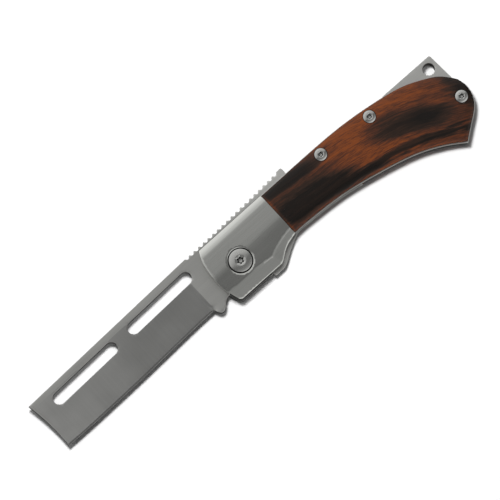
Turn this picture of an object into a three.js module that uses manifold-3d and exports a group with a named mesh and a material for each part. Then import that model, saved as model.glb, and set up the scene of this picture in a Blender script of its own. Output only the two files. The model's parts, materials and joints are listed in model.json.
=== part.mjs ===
// A folding straight razor, shown open and locked.
// A square-ended blade turns on a pivot between two steel liners. Each liner carries a steel
// bolster round the pivot and a wooden scale behind it. A sprung tongue of the rear liner, the
// lock bar, stands behind the tang and keeps the blade open.
//
// Millimetres. The origin is on the pivot axis in the plane of the rear face. +X runs to the
// butt, +Y to the spine, +Z out of the front face. The open blade points to -X, its edge to -Y.

import * as THREE from 'three';
import { mergeVertices } from 'three/addons/utils/BufferGeometryUtils.js';
import Module from 'manifold-3d';

const wasm = await Module();
wasm.setup();

// ---- Driving dimensions ----

// Layers, from the rear face to the front face
const scaleThickness = 3.0;
const linerThickness = 1.2;
const washerThickness = 0.25;
const bladeThickness = 3.0;
const seatGap = 0.02; // between two faces that lie on each other

// Handle
const handleReach = 107.5; // pivot to the butt
const bolsterReach = 22.2; // pivot to the joint between bolster and scale
const bolsterFront = 12.0; // pivot to the foremost point of the bolster
const spineHeight = 13.3; // pivot up to the handle's back
const bellyDepth = 11.0; // pivot down to the lower edge of the bolster
const gripDepth = 6.3; // pivot down to the belly just behind the bolster
const heelDepth = 25.1; // pivot down to the point at the lower corner of the butt
const thumbCutStart = 10.8; // where the lower edge turns up for the thumb
const scaleInset = 0.2; // how far the wood stays inside the edge of its liner
const scaleRound = 1.3; // rounding of the wood's outer edge
const bolsterGap = 0.05; // joint between bolster and scale
const bolsterBevel = 1.1; // how far the bolster's long bevels fall
const bolsterBevelWidth = 3.6;

// Corner plate for the lanyard
const plateTop = 9.1;
const plateInset = 2.5; // butt end to the plate's rear edge
const lanyardHoleRadius = 2.36;
const lanyardWall = 1.38; // steel left between the hole and the plate's two edges

// Blade
const spineStand = 1.7; // how far the blade's spine stands above the handle's back
const tipSpineStand = 0.5; // the same at the tip, where the blade is a little narrower
const edgeDepth = 7.3; // pivot down to the cutting edge
const grindTop = 11.7; // height where the ground bevel starts
const edgeThickness = 0.35;
const plungeReach = 19.1; // pivot to the plunge line at the heel of the grind
const slotWidth = 5.0;
const slotDrop = 5.5; // spine down to the centre line of the slots
const slotHeel = 16.9; // pivot to the near end of the first slot
const slotWeb = 6.6; // steel between the two slots
const slotTipMargin = 8.2; // steel between the outer slot and the tip
const tipClearance = 1.6; // blade tip to the butt spacer when it is shut
const closedAngle = THREE.MathUtils.degToRad(175);
const tailReach = 35.3; // pivot to the end of the jimped tail
const tailSink = 2.2; // how far the tail reaches down behind the handle's back
const jimpPitch = 2.39;
const jimpDepth = 0.8;
const jimpStart = 14.6; // pivot to the first notch, in front of the bolster
const tangRear = 10.4; // pivot to the rear edge of the tang, under the tail

// Pivot
const barrelRadius = 2.4;
const pivotScrewRadius = 1.5;
const pivotHeadRadius = 4.42;
const pivotRecessRadius = 4.88;
const pivotRecessDepth = 1.5;
const pivotCrown = 0.45; // how far the domed head stands proud
const washerRadius = 6.2;
const runningClearance = 0.05; // radial, between the barrel and what turns on it
const socketRadius = 1.5;
const socketDepth = 1.0;

// Scale screws, standoffs and stop pin
const screwRadius = 1.25;
const screwHeadRadius = 2.45;
const screwRecessDepth = 1.1;
const screwCrown = 0.4;
const holeClearance = 0.08; // radial, round a shank that is threaded or pressed in
const headClearance = 0.15; // radial, round a sunk head
const standoffRadius = 2.2;
const screwBite = 1.6; // how deep each scale screw goes into its standoff
const stopPinRadius = 1.5;
const stopPinX = 18.0;
const stopGap = 0.1; // between the stop pin and what it stops
const kickRadius = 1.3;

// Screws that hold each bolster to its liner, put in from the inside
const bolsterScrewRadius = 0.9;
const bolsterScrewHead = 1.7;
const bolsterScrewPlaces = [[-6.0, 8.4], [14.2, 4.6]];

// Lock bar
const lockFaceX = 6.0; // pivot to the end of the bar, behind the tang
const lockTop = -4.4;
const lockSpringTop = 1.2; // upper edge of the bar where it is a plain spring
const lockSlot = 1.0; // width of the slot that frees the bar
const lockRoot = 54.0; // pivot to the root of the bar
const lockRootGap = 0.3;
const lockBend = THREE.MathUtils.degToRad(1.55); // how far the bar leans in when it locks
const lockContactGap = 0.1;
const tabStand = 1.65; // how far the thumb tab stands below the bolster
const detentRadius = 0.8;
const detentStand = 0.5; // how far the ball stands out of the bar
const detentPlace = [9.4, -7.0];

const spacerWall = 10.0; // butt end to the inner face of the butt spacer, along the middle
const spacerLength = 23.5; // butt end to the front end of the butt spacer
const spacerTop = 2.8; // lower edge of the spacer's arm along the back, above the shut blade
const spacerInset = 0.1; // how far the spacer stays inside the edge of the liners

// Rounding of curves
const roundSegments = 24;
const curveSegments = 5;
const plateSegments = 3; // coarser, so that the rounding doesn't fold at the heel

// ---- Layers ----

const layer = (bottom, thickness) => ({ bottom, top: bottom + thickness });
const above = (below, thickness) => layer(below.top + seatGap, thickness);
const rearScaleLayer = layer(0, scaleThickness);
const rearLinerLayer = above(rearScaleLayer, linerThickness);
const rearWasherLayer = above(rearLinerLayer, washerThickness);
const bladeLayer = above(rearWasherLayer, bladeThickness);
const frontWasherLayer = above(bladeLayer, washerThickness);
const frontLinerLayer = above(frontWasherLayer, linerThickness);
const frontScaleLayer = above(frontLinerLayer, scaleThickness);
const linerDistance = frontLinerLayer.bottom - rearLinerLayer.top;
const gapLayer = above(rearLinerLayer, linerDistance - 2 * seatGap);
const everything = layer(-5, frontScaleLayer.top + 10);

// ---- Solids ----

function solid(geometry) {
  const plain = geometry.index ? geometry.toNonIndexed() : geometry.clone();
  plain.deleteAttribute('normal');
  plain.deleteAttribute('uv');
  const merged = mergeVertices(plain, 1e-4);
  return new wasm.Manifold(new wasm.Mesh({
    numProp: 3,
    vertProperties: Float32Array.from(merged.attributes.position.array),
    triVerts: Uint32Array.from(merged.index.array),
  }));
}

function geometryOf(body) {
  const mesh = body.getMesh();
  const geometry = new THREE.BufferGeometry();
  geometry.setAttribute('position', new THREE.BufferAttribute(mesh.vertProperties, 3));
  geometry.setIndex(new THREE.BufferAttribute(mesh.triVerts, 1));
  geometry.computeVertexNormals();
  return geometry;
}

function slab(shape, { bottom, top }, segments = curveSegments) {
  const settings = { depth: top - bottom, bevelEnabled: false, curveSegments: segments };
  return solid(new THREE.ExtrudeGeometry(shape, settings).translate(0, 0, bottom));
}

function box(x0, x1, y0, y1, { bottom, top }) {
  const geometry = new THREE.BoxGeometry(x1 - x0, y1 - y0, top - bottom);
  return solid(geometry.translate((x0 + x1) / 2, (y0 + y1) / 2, (bottom + top) / 2));
}

// A round body about a Z axis at (x, y). The profile's points are [radius, z], from the lower
// end to the upper end; it starts and ends on the axis.
function turned(profile, x = 0, y = 0, segments = roundSegments) {
  const points = profile.map(([radius, z]) => new THREE.Vector2(radius, z));
  const geometry = new THREE.LatheGeometry(points, segments);
  return solid(geometry.rotateX(Math.PI / 2).translate(x, y, 0));
}

const rod = (radius, { bottom, top }, x = 0, y = 0) =>
  turned([[0, bottom], [radius, bottom], [radius, top], [0, top]], x, y);

// A ring of rounded lobes, the opening of a six-lobe socket
function socket(radius, span, x, y) {
  const steps = 24;
  const points = Array.from({ length: steps }, (_, i) => {
    const angle = (2 * Math.PI * i) / steps;
    const r = radius * (0.87 + 0.13 * Math.cos(6 * angle));
    return new THREE.Vector2(x + r * Math.cos(angle), y + r * Math.sin(angle));
  });
  return slab(new THREE.Shape(points), span);
}

const turn = ([x, y], angle) => [
  x * Math.cos(angle) - y * Math.sin(angle),
  x * Math.sin(angle) + y * Math.cos(angle),
];

// ---- Outline of the handle ----

const along = (share) => bolsterReach + share * (handleReach - bolsterReach);
const fromButt = (distance) => handleReach - distance;
const vectors = (points) => points.map(([x, y]) => new THREE.Vector2(x, y));

// Lower edge of the bolster and the thumb cut-out, from the front to the scale
function thumbLine(path) {
  path.lineTo(thumbCutStart, -bellyDepth - 0.25);
  path.splineThru(vectors([
    [thumbCutStart + 1.2, -bellyDepth + 0.3],
    [thumbCutStart + 4.2, -(bellyDepth + gripDepth) / 2],
    [thumbCutStart + 7.2, -gripDepth - 1.0],
    [bolsterReach, -gripDepth],
  ]));
}

// Belly of the scales, from the bolster to the lower corner of the butt
function bellyLine(path) {
  path.splineThru(vectors([
    [along(0.07), -gripDepth],
    [along(0.27), -gripDepth - 1.45],
    [along(0.45), -gripDepth - 4.6],
    [along(0.62), -heelDepth + 10.1],
    [fromButt(22.2), -heelDepth + 5.3],
    [fromButt(14.4), -heelDepth],
  ]));
}

// The rounded butt, from the lower corner up to the back
function buttLine(path) {
  path.splineThru(vectors([
    [fromButt(9.7), -heelDepth + 3.4],
    [fromButt(3.8), -heelDepth + 7.7],
    [fromButt(1.0), -heelDepth + 11.5],
    [fromButt(0), -heelDepth + 16.2],
    [fromButt(0.8), -heelDepth + 20.3],
  ]));
}

// The back of the scales, from the butt to the bolster
function backLine(path) {
  path.splineThru(vectors([
    [fromButt(4.3), -heelDepth + 25.0],
    [fromButt(8.7), -heelDepth + 28.2],
    [fromButt(17.5), spineHeight - 6.1],
    [fromButt(27.5), spineHeight - 3.7],
    [along(0.5), spineHeight - 1.5],
    [along(0.32), spineHeight - 0.65],
    [bolsterReach, spineHeight - 0.25],
  ]));
}

function frontLine(path) {
  path.lineTo(-bolsterFront + 3.0, spineHeight + 0.1);
  path.splineThru(vectors([
    [-bolsterFront + 0.9, spineHeight - 4.8],
    [-bolsterFront, 1.4],
    [-bolsterFront + 0.4, -bellyDepth + 6],
    [-bolsterFront + 2.0, -bellyDepth + 0.7],
  ]));
}

// The plain handle without the corner plate
function handleShape() {
  const shape = new THREE.Shape();
  shape.moveTo(-bolsterFront + 3.0, -bellyDepth);
  thumbLine(shape);
  bellyLine(shape);
  buttLine(shape);
  backLine(shape);
  frontLine(shape);
  return shape;
}

// The part behind the bolster, which starts a little in front of the joint
function gripShape() {
  const shape = new THREE.Shape();
  shape.moveTo(bolsterReach - 5, -gripDepth);
  shape.lineTo(bolsterReach, -gripDepth);
  bellyLine(shape);
  buttLine(shape);
  backLine(shape);
  shape.lineTo(bolsterReach - 5, spineHeight - 0.25);
  return shape;
}

// The corner plate, which runs from the back of the scales to the rear of the butt
function plateShape() {
  const rear = fromButt(plateInset);
  const shape = new THREE.Shape();
  shape.moveTo(fromButt(27), spineHeight - 6.5);
  shape.lineTo(rear - 8, -heelDepth + 12);
  shape.lineTo(fromButt(1.2), -heelDepth + 16);
  shape.lineTo(rear + 0.5, -heelDepth + 21.5);
  shape.lineTo(rear, plateTop - 0.8);
  shape.quadraticCurveTo(rear, plateTop, rear - 0.8, plateTop);
  shape.lineTo(fromButt(26), plateTop + 0.5);
  return shape;
}

// Moves each point of a closed outline inwards by a distance
function insetShape(shape, distance, segments = curveSegments) {
  const points = shape.getPoints(segments);
  if (points[0].distanceTo(points.at(-1)) < 1e-6) points.pop();
  if (THREE.ShapeUtils.isClockWise(points)) points.reverse();
  const moved = points.map((point, i) => {
    const before = point.clone().sub(points.at(i - 1)).normalize();
    const after = points[(i + 1) % points.length].clone().sub(point).normalize();
    const miter = before.clone().add(after).normalize();
    const length = distance / Math.max(0.5, Math.abs(miter.dot(after)));
    return new THREE.Vector2(point.x - miter.y * length, point.y + miter.x * length);
  });
  return new THREE.Shape(moved);
}

// ---- Places that several pieces share ----

const backAtScrew = spineHeight - 4.4;
const scaleScrews = [
  [along(0.317), backAtScrew],
  [along(0.588), backAtScrew - 1.9],
  [fromButt(4.6), -heelDepth + 14.3],
];
const lanyardHole = [
  fromButt(plateInset) - lanyardWall - lanyardHoleRadius,
  plateTop - lanyardWall - lanyardHoleRadius,
];
const tailUnderside = spineHeight - tailSink;
const stopPin = [stopPinX, tailUnderside - stopGap - stopPinRadius];
const spacerRadius = handleReach - spacerWall;
const tipRadius = spacerRadius - tipClearance;

// The kick is the bump at the heel that meets the stop pin from below when the blade is shut.
const kickShut = [stopPin[0], stopPin[1] - stopPinRadius - stopGap - kickRadius];
const kick = turn(kickShut, -closedAngle);

// ---- Blade ----

const tipSpineY = spineHeight + tipSpineStand;
const tipX = -Math.sqrt(tipRadius ** 2 - tipSpineY ** 2);
const spineY = spineHeight + spineStand;
const spineAt = (x) => spineY + ((spineY - tipSpineY) * (x + jimpStart)) / (-jimpStart - tipX);

// The jimped top of the tang rises gently towards the end of the tail.
const jimpTop = (x) => spineY - 0.1 + 0.00043 * (x + jimpStart) ** 2;

function jimping(shape) {
  const count = Math.floor((tailReach - 0.8 + jimpStart) / jimpPitch);
  for (let i = 0; i < count; i++) {
    const x = -jimpStart + i * jimpPitch;
    const y = jimpTop(x);
    shape.lineTo(x, y);
    shape.lineTo(x + 0.3 * jimpPitch, y - jimpDepth);
    shape.lineTo(x + 0.55 * jimpPitch, y - jimpDepth);
    shape.lineTo(x + 0.85 * jimpPitch, jimpTop(x + 0.85 * jimpPitch));
  }
}

function bladeShape() {
  const tailTop = jimpTop(tailReach);
  const shape = new THREE.Shape();
  shape.moveTo(tipX, tipSpineY);
  jimping(shape);
  shape.lineTo(tailReach - 0.6, tailTop);
  shape.quadraticCurveTo(tailReach, tailTop, tailReach, tailTop - 0.6);
  shape.lineTo(tailReach, tailUnderside + 0.8);
  shape.quadraticCurveTo(tailReach, tailUnderside, tailReach - 0.8, tailUnderside);
  shape.lineTo(tangRear + 3.6, tailUnderside);
  shape.quadraticCurveTo(tangRear + 0.4, tailUnderside, tangRear, tailUnderside - 3.5);
  shape.splineThru(vectors([[tangRear, 2.5], [tangRear - 1.2, -1.4], [lockFaceX + 0.2, lockTop]]));
  shape.lineTo(lockFaceX - lockContactGap - 0.5, -bellyDepth + 1.6);
  shape.splineThru(vectors([
    [2.0, -bellyDepth + 0.7],
    [-5.0, -bellyDepth + 1.6],
    [-11.0, -edgeDepth + 0.9],
    [kick[0] + 3.4, -edgeDepth + 0.2],
  ]));
  shape.quadraticCurveTo(kick[0] + 1.6, kick[1] - kickRadius, kick[0], kick[1] - kickRadius);
  shape.quadraticCurveTo(kick[0] - 1.3, kick[1] - kickRadius, kick[0] - 2.2, -edgeDepth + 0.6);
  shape.splineThru(vectors([
    [-30, -edgeDepth + 0.6],
    [tipX * 0.6, -edgeDepth],
    [tipX * 0.85, -edgeDepth - 0.1],
    [tipX + 1.3, -edgeDepth + 0.15],
  ]));
  shape.quadraticCurveTo(tipX + 1.9, 2.4, tipX, tipSpineY);
  return shape;
}

function slotShape(near, length) {
  const far = near - length;
  const r = slotWidth / 2;
  const lean = Math.atan((spineAt(near) - spineAt(far)) / length);
  const nearY = spineAt(near - r) - slotDrop;
  const farY = spineAt(far + r) - slotDrop;
  const shape = new THREE.Shape();
  shape.absarc(near - r, nearY, r, lean - Math.PI / 2, lean + Math.PI / 2);
  shape.absarc(far + r, farY, r, lean + Math.PI / 2, lean + 1.5 * Math.PI);
  return shape;
}

const slotLength = (-tipX - slotTipMargin - slotHeel - slotWeb) / 2;
const slots = [-slotHeel, -slotHeel - slotLength - slotWeb].map((near) => slotShape(near, slotLength));

// What the grinding wheel takes off one side, a long wedge that is deepest at the edge
function grindWedge(side) {
  const middle = (bladeLayer.bottom + bladeLayer.top) / 2;
  const face = middle + (side * bladeThickness) / 2;
  const slope = (bladeThickness - edgeThickness) / 2 / (grindTop + edgeDepth);
  const below = -edgeDepth - 4;
  const depthBelow = slope * (grindTop - below);
  const section = new THREE.Shape(vectors([
    [grindTop, face + side * 1],
    [grindTop, face],
    [below, face - side * depthBelow],
    [below, face + side * 1],
  ]));
  const length = -tipX + 5 - plungeReach;
  const geometry = new THREE.ExtrudeGeometry(section, { depth: length, bevelEnabled: false });
  const toBladeFrame = new THREE.Matrix4().set(
    0, 0, 1, tipX - 5,
    1, 0, 0, 0,
    0, 1, 0, 0,
    0, 0, 0, 1,
  );
  return solid(geometry.applyMatrix4(toBladeFrame));
}

function makeBlade() {
  const detent = turn(detentPlace, -closedAngle);
  let body = slab(bladeShape(), bladeLayer);
  body = body.subtract(rod(barrelRadius + runningClearance, everything));
  for (const slot of slots) body = body.subtract(slab(slot, everything, roundSegments / 2));
  for (const side of [-1, 1]) body = body.subtract(grindWedge(side));
  const dimple = layer(bladeLayer.bottom - 1, 1 + detentStand);
  return body.subtract(rod(detentRadius + holeClearance, dimple, ...detent));
}

// ---- Handle pieces ----

// Everything that passes through both liners
function linerHoles(body) {
  let cut = body.subtract(rod(barrelRadius + runningClearance, everything));
  cut = cut.subtract(rod(stopPinRadius + holeClearance, everything, ...stopPin));
  cut = cut.subtract(rod(lanyardHoleRadius, everything, ...lanyardHole));
  for (const place of scaleScrews) {
    cut = cut.subtract(rod(screwRadius + holeClearance, everything, ...place));
  }
  return cut;
}

// A countersunk screw that starts flush with a face. It points along +Z for direction 1.
function flushScrew(face, direction, length, [x, y], growth = 0) {
  const head = linerThickness * 0.75;
  const at = (depth) => face + direction * depth;
  const profile = [
    [0, at(-growth)],
    [bolsterScrewHead + growth, at(-growth)],
    [bolsterScrewRadius + growth, at(head)],
    [bolsterScrewRadius + growth, at(length + growth)],
    [0, at(length + growth)],
  ];
  return turned(direction > 0 ? profile : profile.reverse(), x, y);
}

const bolsterScrewLength = linerThickness + 0.6 * scaleThickness;

function drillForBolsterScrews(body, face, direction) {
  return bolsterScrewPlaces.reduce(
    (cut, place) => cut.subtract(flushScrew(face, direction, bolsterScrewLength, place, holeClearance)),
    body,
  );
}

function makeLiner(span) {
  const body = slab(handleShape(), span).add(slab(plateShape(), span));
  const isFront = span === frontLinerLayer;
  return drillForBolsterScrews(linerHoles(body), isFront ? span.bottom : span.top, isFront ? 1 : -1);
}

// The lock bar: the thumb tab, then the belly line of the liner, then the slot and the lock face.
// With a slot width it is the opening that frees the bar, which runs out below the liner by reach.
function barShape(slot = 0, reach = 0) {
  const tabBottom = -bellyDepth - tabStand - reach;
  const front = lockFaceX + 0.3;
  const shape = new THREE.Shape();
  shape.moveTo(front - slot, tabBottom + 0.5);
  shape.quadraticCurveTo(front - slot, tabBottom, front - slot + 0.5, tabBottom);
  shape.lineTo(thumbCutStart + 0.2, tabBottom);
  shape.splineThru(vectors([
    [thumbCutStart + 2.2, tabBottom + 0.9],
    [thumbCutStart + 7.0, -gripDepth - 2.6 - reach],
    [bolsterReach + 1.0, -gripDepth - reach],
  ]));
  const belly = reach > 0 ? [[lockRoot + slot, -heelDepth]] : bellyPoints();
  for (const [x, y] of belly) shape.lineTo(x, y);
  shape.lineTo(lockRoot + (slot > 0 ? lockRootGap : 0), lockSpringTop + slot);
  shape.lineTo(17.6, lockSpringTop + slot);
  shape.splineThru(vectors([
    [15.4 - slot / 2, (lockSpringTop + lockTop) / 2 + slot],
    [12.6 - slot, lockTop + slot],
  ]));
  shape.lineTo(lockFaceX + 0.35 - slot, lockTop + slot);
  shape.lineTo(lockFaceX - 0.15 - slot, -bellyDepth + 0.9);
  return shape;
}

// The belly's own points between the bolster and the root of the lock bar
function bellyPoints() {
  const path = new THREE.Path();
  path.moveTo(bolsterReach, -gripDepth);
  bellyLine(path);
  const points = path.getPoints(curveSegments);
  const between = points.filter((p) => p.x > bolsterReach + 1.5 && p.x < lockRoot - 0.5);
  const last = points.find((p) => p.x >= lockRoot - 0.5);
  const before = between.at(-1);
  const share = (lockRoot - before.x) / (last.x - before.x);
  return [...between.map((p) => [p.x, p.y]), [lockRoot, before.y + share * (last.y - before.y)]];
}

function makeRearLiner() {
  return makeLiner(rearLinerLayer).subtract(slab(barShape(lockSlot, 3), everything));
}

// Where the bar bends: the middle of its thickness at its root
const barPivot = new THREE.Vector3(lockRoot, 0, (rearLinerLayer.bottom + rearLinerLayer.top) / 2);

function inBarFrame(body) {
  return geometryOf(body).translate(-barPivot.x, -barPivot.y, -barPivot.z);
}

function makeLockBar() {
  const bar = slab(barShape(), rearLinerLayer);
  const ballZ = rearLinerLayer.top + detentStand - detentRadius;
  const seat = layer(ballZ - detentRadius - holeClearance, 5);
  return bar.subtract(rod(detentRadius + holeClearance, seat, ...detentPlace));
}

function makeDetentBall() {
  const ballZ = rearLinerLayer.top + detentStand - detentRadius;
  const ball = new THREE.SphereGeometry(detentRadius, 12, 8).rotateX(Math.PI / 2);
  return solid(ball.translate(detentPlace[0], detentPlace[1], ballZ));
}

// A plate of the handle whose outer edge is rounded. Outwards is +Z for side 1, -Z for side -1.
function roundedPlate(shape, span, side, round) {
  const settings = {
    depth: 2 * (span.top - span.bottom - round),
    bevelThickness: round,
    bevelSize: round,
    bevelOffset: -round,
    bevelSegments: 2,
    curveSegments,
  };
  const inner = side > 0 ? span.bottom : span.top;
  const pillow = new THREE.ExtrudeGeometry(shape, settings).translate(0, 0, inner - settings.depth / 2);
  return solid(pillow).intersect(box(-200, 200, -100, 100, span));
}

const recess = (span, side, depth) =>
  side > 0 ? layer(span.top - depth, 5) : layer(span.bottom - 5, 5 + depth);

function makeScale(span, side) {
  const wood = insetShape(gripShape(), scaleInset, plateSegments);
  let body = roundedPlate(wood, span, side, scaleRound);
  body = body.intersect(box(bolsterReach + bolsterGap, handleReach + 5, -50, 50, everything));
  for (const place of scaleScrews) {
    body = body.subtract(rod(screwRadius + holeClearance, everything, ...place));
    const sunk = recess(span, side, screwRecessDepth);
    body = body.subtract(rod(screwHeadRadius + headClearance, sunk, ...place));
  }
  return body;
}

// The slanting face that a long bevel leaves, as the prism that it takes away. It starts on the
// line through two points and falls to the left of that line.
function bevelPrism([x0, y0], [x1, y1], span, side) {
  const outer = side > 0 ? span.top : span.bottom;
  const slope = bolsterBevel / bolsterBevelWidth;
  const run = 12;
  const spare = 10;
  const section = new THREE.Shape(vectors([[0, 0], [run, -slope * run], [run, spare], [0, spare]]));
  const length = Math.hypot(x1 - x0, y1 - y0) + 2 * spare;
  const geometry = new THREE.ExtrudeGeometry(section, { depth: length, bevelEnabled: false });
  geometry.translate(0, 0, -spare);
  const ahead = new THREE.Vector3(x1 - x0, y1 - y0, 0).normalize();
  const left = new THREE.Vector3(-ahead.y, ahead.x, 0);
  const frame = new THREE.Matrix4().makeBasis(left, new THREE.Vector3(0, 0, 1), ahead);
  geometry.applyMatrix4(frame);
  if (side < 0) geometry.scale(1, 1, -1);
  const flipped = side < 0 ? reversed(geometry) : geometry;
  return solid(flipped.translate(x0, y0, outer));
}

// The same surface with every triangle turned over, for a geometry that has been mirrored
function reversed(geometry) {
  const plain = geometry.index ? geometry.toNonIndexed() : geometry;
  const p = plain.attributes.position;
  for (let i = 0; i < p.count; i += 3) {
    const [x, y, z] = [p.getX(i), p.getY(i), p.getZ(i)];
    p.setXYZ(i, p.getX(i + 2), p.getY(i + 2), p.getZ(i + 2));
    p.setXYZ(i + 2, x, y, z);
  }
  return plain;
}

function makeBolster(span, side) {
  let body = slab(handleShape(), span);
  body = body.intersect(box(-bolsterFront - 5, bolsterReach, -50, 50, everything));
  const bevelTop = spineHeight - bolsterBevelWidth;
  const bevelBottom = -bellyDepth + bolsterBevelWidth;
  body = body.subtract(bevelPrism([-bolsterFront, bevelTop], [bolsterReach, bevelTop - 0.2], span, side));
  body = body.subtract(bevelPrism([12, bevelBottom], [-bolsterFront, bevelBottom + 0.8], span, side));
  body = body.subtract(rod(barrelRadius + runningClearance, everything));
  body = body.subtract(rod(pivotRecessRadius, recess(span, side, pivotRecessDepth)));
  const inner = side > 0 ? frontLinerLayer.bottom : rearLinerLayer.top;
  return drillForBolsterScrews(body, inner, side);
}

// ---- Pivot, pins, spacers and screws ----

function makePivotBarrel() {
  const headTop = pivotRecessDepth - seatGap;
  const end = frontScaleLayer.top - pivotRecessDepth - 0.2;
  const body = turned([
    [0, 0], [pivotHeadRadius, 0], [pivotHeadRadius, headTop],
    [barrelRadius, headTop], [barrelRadius, end], [0, end],
  ]);
  return body.subtract(rod(pivotScrewRadius + holeClearance, layer(headTop, end)));
}

// A screw with a domed head and a six-lobe socket. It points to -Z for direction 1 and to +Z for
// direction -1. seat is the plane under its head.
function domedScrew({ seat, direction, headRadius, headHeight, crown, shank, length, lobe, depth }, [x, y]) {
  const at = (height) => seat + direction * height;
  const top = headHeight + crown;
  const profile = [
    [0, at(-length)], [shank, at(-length)], [shank, at(0)], [headRadius, at(0)],
    [headRadius, at(headHeight - 0.3)], [headRadius * 0.94, at(headHeight + crown * 0.35)],
    [headRadius * 0.7, at(headHeight + crown * 0.8)], [headRadius * 0.45, at(top)], [0, at(top)],
  ];
  const body = turned(direction > 0 ? profile : profile.reverse(), x, y);
  const floor = at(top - depth);
  const span = direction > 0 ? layer(floor, 5) : layer(floor - 5, 5);
  return body.subtract(socket(lobe, span, x, y));
}

const makePivotScrew = () => domedScrew({
  seat: frontScaleLayer.top - pivotRecessDepth + seatGap,
  direction: 1,
  headRadius: pivotHeadRadius,
  headHeight: pivotRecessDepth - seatGap,
  crown: pivotCrown,
  shank: pivotScrewRadius,
  length: 5.5,
  lobe: socketRadius,
  depth: socketDepth,
}, [0, 0]);

function makeScaleScrew(side, place) {
  const outer = side > 0 ? frontScaleLayer.top : 0;
  const crown = side > 0 ? screwCrown : 0;
  return domedScrew({
    seat: outer - side * (screwRecessDepth - seatGap),
    direction: side,
    headRadius: screwHeadRadius,
    headHeight: screwRecessDepth - seatGap,
    crown,
    shank: screwRadius,
    length: scaleThickness - screwRecessDepth + linerThickness + screwBite,
    lobe: socketRadius * 0.72,
    depth: socketDepth * 0.8,
  }, place);
}

function makeWasher({ bottom, top }) {
  return rod(washerRadius, { bottom, top }).subtract(rod(barrelRadius + runningClearance, everything));
}

function makeStandoff(place) {
  return rod(standoffRadius, gapLayer, ...place)
    .subtract(rod(screwRadius + holeClearance, everything, ...place));
}

const makeStopPin = () =>
  rod(stopPinRadius, layer(rearLinerLayer.bottom, frontLinerLayer.top - rearLinerLayer.bottom), ...stopPin);

// The butt spacer fills the butt outside the path of the blade's tip, and the corner plate.
function makeButtSpacer() {
  const [butt, corner] = [handleShape(), plateShape()].map((shape) => insetShape(shape, spacerInset));
  const whole = slab(butt, gapLayer).add(slab(corner, gapLayer));
  let body = whole.intersect(box(fromButt(spacerLength), handleReach + 5, -50, 50, everything));
  const sweep = rod(spacerRadius, everything);
  const underArm = box(0, handleReach, -50, spacerTop, everything);
  body = body.subtract(sweep.intersect(underArm));
  body = body.subtract(rod(lanyardHoleRadius, everything, ...lanyardHole));
  return body.subtract(rod(screwRadius + holeClearance, everything, ...scaleScrews[2]));
}

// ---- Assembly ----

const finish = (color, roughness, metalness) =>
  new THREE.MeshStandardMaterial({ color, roughness, metalness });

const steel = {
  blade: () => finish(0x8b8d87, 0.4, 1),
  bolster: () => finish(0xa8a9a2, 0.25, 1),
  liner: () => finish(0xa5a7a1, 0.35, 1),
  screw: () => finish(0xb0b0aa, 0.3, 1),
};
const wood = () => finish(0x6b2a12, 0.3, 0);
const bronze = () => finish(0x9b7a45, 0.4, 1);

const razor = new THREE.Group();

// The lock bar is drawn about its root, so that it leans in by turning its group.
const lockGroup = new THREE.Group();
lockGroup.position.copy(barPivot);
lockGroup.rotation.y = lockBend;
razor.add(lockGroup);

function place(name, body, material) {
  const mesh = new THREE.Mesh(geometryOf(body), material);
  mesh.name = name;
  razor.add(mesh);
}

function placeOnBar(name, body, material) {
  const mesh = new THREE.Mesh(inBarFrame(body), material);
  mesh.name = name;
  lockGroup.add(mesh);
}

place('blade', makeBlade(), steel.blade());
place('front_liner', makeLiner(frontLinerLayer), steel.liner());
place('rear_liner', makeRearLiner(), steel.liner());
place('front_bolster', makeBolster(frontScaleLayer, 1), steel.bolster());
place('rear_bolster', makeBolster(rearScaleLayer, -1), steel.bolster());
place('front_scale', makeScale(frontScaleLayer, 1), wood());
place('rear_scale', makeScale(rearScaleLayer, -1), wood());
place('butt_spacer', makeButtSpacer(), steel.liner());
place('pivot_barrel', makePivotBarrel(), steel.screw());
place('pivot_screw', makePivotScrew(), steel.screw());
place('front_washer', makeWasher(frontWasherLayer), bronze());
place('rear_washer', makeWasher(rearWasherLayer), bronze());
place('stop_pin', makeStopPin(), steel.screw());

const standoffNames = ['mid_standoff', 'rear_standoff'];
standoffNames.forEach((name, i) => place(name, makeStandoff(scaleScrews[i]), steel.screw()));

const screwNames = ['mid', 'rear', 'butt'];
screwNames.forEach((name, i) => {
  place(`front_${name}_screw`, makeScaleScrew(1, scaleScrews[i]), steel.screw());
  place(`rear_${name}_screw`, makeScaleScrew(-1, scaleScrews[i]), steel.screw());
});

const bolsterScrewNames = ['fore', 'aft'];
bolsterScrewNames.forEach((name, i) => {
  const at = bolsterScrewPlaces[i];
  const front = flushScrew(frontLinerLayer.bottom, 1, bolsterScrewLength, at);
  const rear = flushScrew(rearLinerLayer.top, -1, bolsterScrewLength, at);
  place(`front_bolster_screw_${name}`, front, steel.screw());
  place(`rear_bolster_screw_${name}`, rear, steel.screw());
});

placeOnBar('lock_bar', makeLockBar(), steel.liner());
placeOnBar('detent_ball', makeDetentBall(), steel.screw());

export default razor;
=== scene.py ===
# %% [markdown]
# # A folding straight razor
# The razor lies on its rear face, open and locked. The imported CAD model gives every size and
# place, in metres, with +X to the butt of the handle, +Y to the back and +Z out of the front.
# This file gives each piece a finer surface and its finish, then lights and frames it.

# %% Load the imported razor
import json
import math

import bmesh
import bpy
import numpy as np
from mathutils import Matrix, Vector
from mathutils.geometry import delaunay_2d_cdt


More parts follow.
